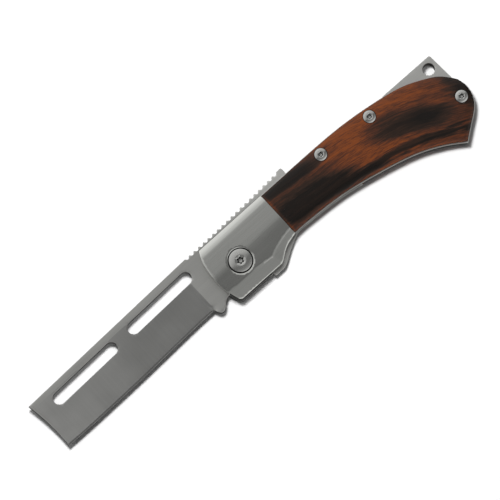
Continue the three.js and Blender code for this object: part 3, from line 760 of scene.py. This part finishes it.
# %% Bolster sizes, in mm
BACK_BEVEL, BACK_FALL = 2.9, 1.15  # the rounded bevel along the back: width and fall
FOLD, FOLD_SLOPE, FOLD_SOFTNESS = 1.6, 0.019, 1.3  # where the long face turns down, and how
CROWN_FROM = 8.0  # the long face is crowned above this y
FACET_X = [-12.0, 2.0, 11.0, 15.0, 22.0]
FACET_WIDTH = [5.2, 5.2, 4.2, 3.3, 2.8]  # at each of those x
FACET_SLOPE, RIDGE_STEP, RIDGE_WIDTH = 0.17, 0.10, 0.3
BROKEN_WIDTH, BROKEN_SLOPE = 0.26, 0.55
RECESS_GAP, RECESS_DEPTH = 0.46, 1.5  # room round the pivot's head, and how deep it lies
RECESS_RIM, RECESS_RIM_DEPTH = 0.18, 0.12  # the countersunk rim of that recess
print("facet from", FACET_WIDTH[0], "to", FACET_WIDTH[-1], "mm wide")


# %% Bolster shape
def bolster(name, node, up, head):
    """up is 1 where the plate's outer face is up, -1 where it is down."""
    low, high = (corner.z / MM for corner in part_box(node))
    outer, inner = (high, low) if up > 0 else (low, high)
    loops = outlines(node, inner + up * 0.6, 0.8)
    outline = loops[0]  # of the holes, only the pivot's goes right through
    loops = [outline] + [loop for loop in loops[1:] if np.hypot(*loop.mean(0)) < 0.5]
    back_y, joint_x = outline[:, 1].max(), outline[:, 0].max()
    lower = outline[(outline[:, 1] < -5.8) & (outline[:, 0] > -9.5)]
    lower = lower[np.argsort(lower[:, 0])]
    hole = centre_of(head)
    recess = size_of(head)[2] + RECESS_GAP

    def depth(x, y):
        points = np.column_stack([x, y])
        roll = np.clip((y - (back_y - BACK_BEVEL)) / BACK_BEVEL, 0, 1)
        back = BACK_FALL * roll ** 1.7
        beyond = np.interp(x, FACET_X, FACET_WIDTH) - distance(points, [lower])
        crisp = np.clip(x / 4.0, 0, 1)  # the ridge fades out below the pivot
        step = RIDGE_STEP * crisp * np.clip(beyond / RIDGE_WIDTH, 0, 1)
        facet = FACET_SLOPE * np.clip(beyond, 0, None) + step
        r = np.hypot(x - hole[0], y - hole[1])
        sunk = np.where(r < recess - 0.005, RECESS_DEPTH, 0)
        rim = RECESS_RIM_DEPTH * np.clip(1 - (r - recess) / RECESS_RIM, 0, 1)
        rim = rim * (r >= recess - 0.005)
        crown = 0.001 * (y - CROWN_FROM) ** 2 * (y > CROWN_FROM)
        crown = crown + FOLD_SLOPE * (np.hypot(FOLD - y, FOLD_SOFTNESS) + FOLD - y)
        to_edge = distance(points, [closed(outline)])
        broken = BROKEN_SLOPE * np.clip(BROKEN_WIDTH - to_edge, 0, None)
        return np.maximum(np.maximum(back, facet) + crown + broken, sunk) + rim

    def outer_face(x, y):
        return outer - up * depth(x, y)

    # The recess round the pivot's head takes the second finish, painted shade.
    def zone(x, y, side):
        return np.where(np.hypot(x - hole[0], y - hole[1]) < recess, 1, 0)

    rings = [(circle(hole, recess + d, 72), True) for d in (-0.012, 0.0, 0.09, 0.2)]
    ridge = []
    for shift in (0.0, RIDGE_WIDTH):
        across = np.linspace(6.0, joint_x - 0.4, 60)
        line = np.stack([across, np.interp(across, lower[:, 0], lower[:, 1])], 1)
        for _ in range(12):  # lifted step by step until it is the facet's width off the edge
            wide = np.interp(line[:, 0], FACET_X, FACET_WIDTH) - shift
            line[:, 1] += wide - distance(line, [lower])
        ridge.append((line, False))
    ridge.append((np.array([(4.6, FOLD), (joint_x - 0.4, FOLD)]), False))
    top, bottom = (outer_face, level(inner)) if up > 0 else (level(inner), outer_face)
    rings.append((moved_in(outline, BROKEN_WIDTH), True))
    return plate(name, loops, top, bottom, [POLISHED, RECESS_SHADE], edge=0.08, pitch=0.55,
                 lines=rings + ridge, choose=zone)


fit(bolster("front_bolster_polished", "front_bolster", 1, "pivot_screw"),
    "handle", "bolster_steel", "front_bolster")
fit(bolster("rear_bolster_polished", "rear_bolster", -1, "pivot_barrel"),
    "handle", "bolster_steel", "rear_bolster")

# %% [markdown]
# ## Scales
# The wood is shaped after it is fixed to the liner: a belt rounds it over along its whole outer
# edge and leaves the middle slightly crowned, while the end against the bolster stays square.
# The belt takes the soft wood back a hair's breadth further than the steel, so a bright line of
# liner shows round it. Sculpting would give the same roundness by hand. Here the height falls
# with the distance from the edge, and each screw has a flat-bottomed recess.


# %% Scale shape
LINER_RIM = 0.14  # how far the liner shows past the wood, in mm
ROUND_WIDTH, ROUND_FALL = 2.3, 1.35
CROWN_WIDTH, CROWN_FALL = 9.0, 0.22
SCREW_GAP, SCREW_DEPTH = 0.15, 1.1  # room round a screw's head, and how deep its recess is


def scale(name, node, up, screws):
    """up is 1 where the wood's outer face is up, -1 where it is down."""
    low, high = (corner.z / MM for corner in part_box(node))
    outer, inner = (high, low) if up > 0 else (low, high)
    uncut = outlines(node, inner + up * 0.5, 0.8)[0]
    joint = uncut[:, 0].min()
    outline = moved_in(uncut, LINER_RIM)
    outline[:, 0] = np.where(uncut[:, 0] < joint + 0.05, uncut[:, 0], outline[:, 0])
    ring = closed(outline)
    rim = [ring[i:i + 2] for i in range(len(ring) - 1) if max(ring[i:i + 2, 0]) > joint + 0.05]
    places = [centre_of(screw) for screw in screws]
    sunk = size_of(screws[0])[2] + SCREW_GAP

    def depth(x, y):
        off = distance(np.column_stack([x, y]), rim)
        bend = np.clip(1 - off / ROUND_WIDTH, 0, 1)
        crown = CROWN_FALL * np.clip(1 - off / CROWN_WIDTH, 0, 1) ** 2
        fall = ROUND_FALL * (1 - np.sqrt(1 - bend * bend)) + crown
        for cx, cy in places:
            fall = np.where(np.hypot(x - cx, y - cy) < sunk - 0.005, SCREW_DEPTH, fall)
        return fall

    def outer_face(x, y):
        return outer - up * depth(x, y)

    # The screw recesses take the second finish, painted shade.
    def zone(x, y, side):
        return np.where(np.min([np.hypot(x - cx, y - cy) for cx, cy in places], 0) < sunk, 1, 0)

    rings = [(circle(p, sunk + d, 48), True) for p in places for d in (-0.012, 0.0, 0.2)]
    rings += [(moved_in(outline, d), True) for d in (0.35, 0.8)]
    top, bottom = (outer_face, level(inner)) if up > 0 else (level(inner), outer_face)
    return plate(name, [outline], top, bottom, [WOOD, RECESS_SHADE], edge=0.10, pitch=0.9, lines=rings,
                 choose=zone)


for up, word in ((1, "front"), (-1, "rear")):
    screws = [f"{word}_{which}_screw" for which in ("mid", "rear", "butt")]
    fit(scale(f"{word}_scale_wood", f"{word}_scale", up, screws), "handle", "dyed_wood",
        f"{word}_scale")

# %% [markdown]
# ## Pivot, screws and pins
# A low domed screw goes into a barrel from the front, and the barrel's flat head lies in the
# rear bolster. Small domed screws hold the front scale and flat ones the rear one. They could
# be cylinders with a bevel, but each head gets its broken edge, its soft crown and a socket with
# a countersunk mouth, because those small faces catch the light. A socket's walls are painted
# near-black, painted shade, and its floor is left bright.


# %% Screw profile
def screw_rings(low, high, head, shank, thick, crown, lobe, depth, mouth):
    """Rings from the end of the shank, at low, up to the socket in a head that is thick from its
    underside to its top at high. lobe is the socket's radius and mouth its countersink's."""
    under, brim = high - thick, high - crown
    return [
        (0, low), (shank - 0.25, low), (shank, low + 0.25), (shank, under), (head - 0.06, under),
        (head, under + 0.06), (head, brim - 0.16), (head - 0.05, brim - 0.06),
        (head * 0.93, brim + 0.16 * crown), (head * 0.80, brim + 0.55 * crown),
        (head * 0.64, brim + 0.85 * crown), (head * 0.5, high), (mouth, high),
        (lobed(lobe + 0.05), high - (mouth - lobe) * 0.6), (lobed(lobe), high - depth * 0.5),
        (lobed(lobe * 0.97), high - depth), (lobe * 0.5, high - depth - 0.08),
        (0, high - depth - 0.15),
    ]


def flipped(rings, low, high):
    return [(r, low + high - z) for r, z in rings][::-1]


SOCKET = (13, 14, 15)  # the bands of a socket's wall, painted dark as shade
FLIPPED_SOCKET = (1, 2, 3)  # the same bands of a flipped screw


low, high, head = size_of("pivot_screw")
pivot = screw_rings(low, high, head, shank=1.5, thick=1.95, crown=0.42, lobe=1.42, depth=0.95,
                    mouth=1.95)
fit(turned("pivot_screw_domed", pivot, centre_of("pivot_screw"), [TURNED, RECESS_SHADE], 144,
           dark=SOCKET), "handle", "screw_steel", "pivot_screw")

low, high, head = size_of("pivot_barrel")
bore, tube, shoulder = 1.58, 2.4, 1.48
barrel = [(0, low), (head - 0.2, low), (head, low + 0.2), (head, shoulder - 0.08),
          (head - 0.06, shoulder), (tube, shoulder), (tube, high - 0.15), (tube - 0.15, high),
          (bore + 0.1, high), (bore, high - 0.1), (bore, 1.6), (0, 1.5)]
fit(turned("pivot_barrel_turned", barrel, centre_of("pivot_barrel"), [TURNED]),
    "handle", "screw_steel", "pivot_barrel")

for which in ("mid", "rear", "butt"):
    node = f"front_{which}_screw"
    low, high, head = size_of(node)
    rings = screw_rings(low, high, head, shank=1.25, thick=1.48, crown=0.4, lobe=1.0, depth=0.8,
                        mouth=1.35)
    fit(turned(f"{node}_domed", rings, centre_of(node), [TURNED, RECESS_SHADE], dark=SOCKET),
        "handle", "screw_steel", node)
    node = f"rear_{which}_screw"
    low, high, head = size_of(node)
    rings = screw_rings(low, high, head, shank=1.25, thick=1.08, crown=0.05, lobe=1.0, depth=0.8,
                        mouth=1.3)
    fit(turned(f"{node}_flat", flipped(rings, low, high), centre_of(node), [TURNED, RECESS_SHADE],
               dark=FLIPPED_SOCKET), "handle", "screw_steel", node)

# %% [markdown]
# ## Pins, standoffs and washers
# A ground pin stops the blade, two tubes keep the liners apart, and bronze washers carry the
# blade on the pivot. The pin is turned. The tubes and washers have a hole right through, which
# a plate already knows how to make, so they are thick and thin plates between two circles.


# %% Pins, standoffs and washers
STANDOFF_BORE = 1.33  # radii, in mm
WASHER_BORE = 2.45


def pin_rings(low, high, radius, break_edge):
    return [(0, low), (radius - break_edge, low), (radius, low + break_edge),
            (radius, high - break_edge), (radius - break_edge, high), (0, high)]


low, high, radius = size_of("stop_pin")
fit(turned("stop_pin_ground", pin_rings(low, high, radius, 0.2), centre_of("stop_pin"), [TURNED]),
    "handle", "screw_steel", "stop_pin")

for node in ("mid_standoff", "rear_standoff"):
    low, high, radius = size_of(node)
    bore = circle(centre_of(node), STANDOFF_BORE, 32)[::-1]
    tube = plate(f"{node}_tube", [circle(centre_of(node), radius, 64), bore], level(high),
                 level(low), [TURNED], edge=0.12, pitch=4.0)
    fit(tube, "handle", "screw_steel", node)

for node in ("front_washer", "rear_washer"):
    low, high, radius = size_of(node)
    bore = circle(centre_of(node), WASHER_BORE, 48)[::-1]
    washer = plate(f"{node}_disc", [circle(centre_of(node), radius, 96), bore], level(high),
                   level(low), [BRONZE], edge=0.05, pitch=4.0)
    fit(washer, "handle", "bronze", node)

# %% [markdown]
# ## Screws behind the bolsters
# Short screws hold the bolsters to the liners from inside, where hardly anything of them shows.
# They could be turned like the others, but their imported shape is enough, so only the finish is
# new.

# %% Small screws that keep their imported shape
for name, node in nodes.items():
    if "bolster_screw" in name:
        node.data.materials.clear()
        node.data.materials.append(TURNED)
        node.data.shade_smooth()
        node.data.set_sharp_from_angle(angle=math.radians(30))

# %% [markdown]
# ## Floor
# The razor lies on a pale sheet of paper. A plane much larger than the razor is all it takes.
# The sheet is left out of reflections, so the rims of the steel stay darker than the paper.

# %% Floor
floor_mesh = bpy.data.meshes.new("paper_sheet")
half = 3.0
floor_mesh.from_pydata([(-half, -half, 0), (half, -half, 0), (half, half, 0), (-half, half, 0)],
                       [], [(0, 1, 2, 3)])
floor = bpy.data.objects.new("paper_sheet", floor_mesh)
floor.location.z = -0.00005
bpy.context.scene.collection.objects.link(floor)
paper = Finish("pale_paper", Base_Color=(0.93, 0.93, 0.93, 1.0), Roughness=0.9,
               Specular_IOR_Level=0.1)
floor_mesh.materials.append(paper.material)
floor.visible_glossy = False
print("floor made")

# %% [markdown]
# ## Lamps
# A small lamp hangs almost overhead, a little to the upper left, and throws a narrow shadow
# along the lower right edges. A broad softbox around it softens that shadow and lights the
# paper evenly. One lamp of a middling size could do both, but not with a crisp foot and a soft
# rim. Neither is seen in the steel, because a lamp's mirror image would hide the polish.

# %% Directions in the picture
RIGHT = Vector((0.7327, -0.6806, 0.0)).normalized()  # across the picture, level
UP = Vector((0.6806, 0.7327, 0.0)).normalized()  # up the picture, level
AIM = Vector((5.26, 0.42, 12.0)) * MM
TILT = math.radians(8.5)
REACH = 3.0
VIEW_WIDTH = 186.6 * MM
print("view", round(VIEW_WIDTH / MM, 1), "mm wide, tilted", round(math.degrees(TILT), 1), "deg")


# %% Lamps
def lamp(name, right, up, height, size, watts):
    """A square lamp aimed at the razor and hidden from the camera and from reflections."""
    data = bpy.data.lights.new(name, "AREA")
    data.size = size
    data.energy = watts
    obj = bpy.data.objects.new(name, data)
    bpy.context.scene.collection.objects.link(obj)
    obj.location = right * RIGHT + up * UP + Vector((0, 0, height))
    obj.rotation_mode = "QUATERNION"
    obj.rotation_quaternion = (AIM - obj.location).to_track_quat("-Z", "Y")
    obj.visible_glossy = False
    obj.visible_camera = False


lamp("key_lamp", right=-0.09, up=0.105, height=1.1, size=0.14, watts=11.5)
lamp("overhead_softbox", right=-0.2, up=0.2, height=1.2, size=1.6, watts=6.0)
print("lamps made")

# %% [markdown]
# ## Sky
# Polished steel shows what is around it, not its own colour. In a studio that is a tent of white
# cloth with a dark gap. A picture of a studio could be used, but bands of grey are enough: the
# sky is dim straight overhead, so flat faces look a quiet grey, and bright at both sides, so
# rounded and bevelled edges light up. Below the horizon it is nearly dark, as it is beside a
# table top. It is a net of nodes like the finishes, and it lights only the reflections.

# %% Sky
# The sky's brightness from the edge's side, -1, over the top to the back's side, 1
SKY = ((-0.99, 1.1), (-0.7, 0.9), (-0.45, 0.34), (-0.25, 0.32), (-0.12, 0.17), (0.055, 0.17),
       (0.095, 0.34), (0.13, 0.42), (0.15, 0.47), (0.18, 0.62), (0.6, 0.78), (0.99, 1.1))
world = bpy.data.worlds.new("studio_sky")
bpy.context.scene.world = world
world.use_nodes = True
sky = Net(world.node_tree)
toward = sky.node("ShaderNodeTexCoord", out="Generated")
to_back = sky.node("ShaderNodeSeparateXYZ", None, {0: toward}, "Y")
to_top = sky.node("ShaderNodeSeparateXYZ", None, {0: toward}, "Z")
stops = [((place + 1) / 2, (light, light, light)) for place, light in SKY]
glow = sky.node("ShaderNodeValToRGB", {"stops": stops}, {"Fac": 0.5 * to_back + 0.5})
span = {"Value": to_top, "From Min": -0.35, "From Max": 0.05, "To Min": 0.07, "To Max": 1.0}
horizon = sky.node("ShaderNodeMapRange", None, span)
dimmed = sky.node("ShaderNodeVectorMath", {"operation": "SCALE"}, {0: glow, "Scale": horizon})
sky.join(dimmed, world.node_tree.nodes["Background"].inputs["Color"])
world.cycles_visibility.diffuse = False
print("sky made,", len(stops), "stops")

# %% [markdown]
# ## Camera
# The camera looks almost straight down on the razor, which lies slantwise across the picture. A
# wide lens close by would make the nearer parts larger. From three metres away, with a long lens,
# the razor keeps its proportions, as it would in a flat view, and still has a little depth.

# %% Camera
back = (math.cos(TILT) * Vector((0, 0, 1)) - math.sin(TILT) * UP).normalized()
high_way = (math.cos(TILT) * UP + math.sin(TILT) * Vector((0, 0, 1))).normalized()
camera_data = bpy.data.cameras.new("camera")
camera_data.sensor_width = 36.0
camera_data.lens = 36.0 * REACH / VIEW_WIDTH
camera_data.clip_end = 20.0
camera = bpy.data.objects.new("camera", camera_data)
bpy.context.scene.collection.objects.link(camera)
turn = Matrix((RIGHT, high_way, back)).transposed()
camera.matrix_world = Matrix.Translation(AIM + REACH * back) @ turn.to_4x4()
bpy.context.scene.camera = camera
bpy.context.scene.view_settings.view_transform = "Standard"
print("camera", round(camera_data.lens, 1), "mm lens,", REACH, "m away")
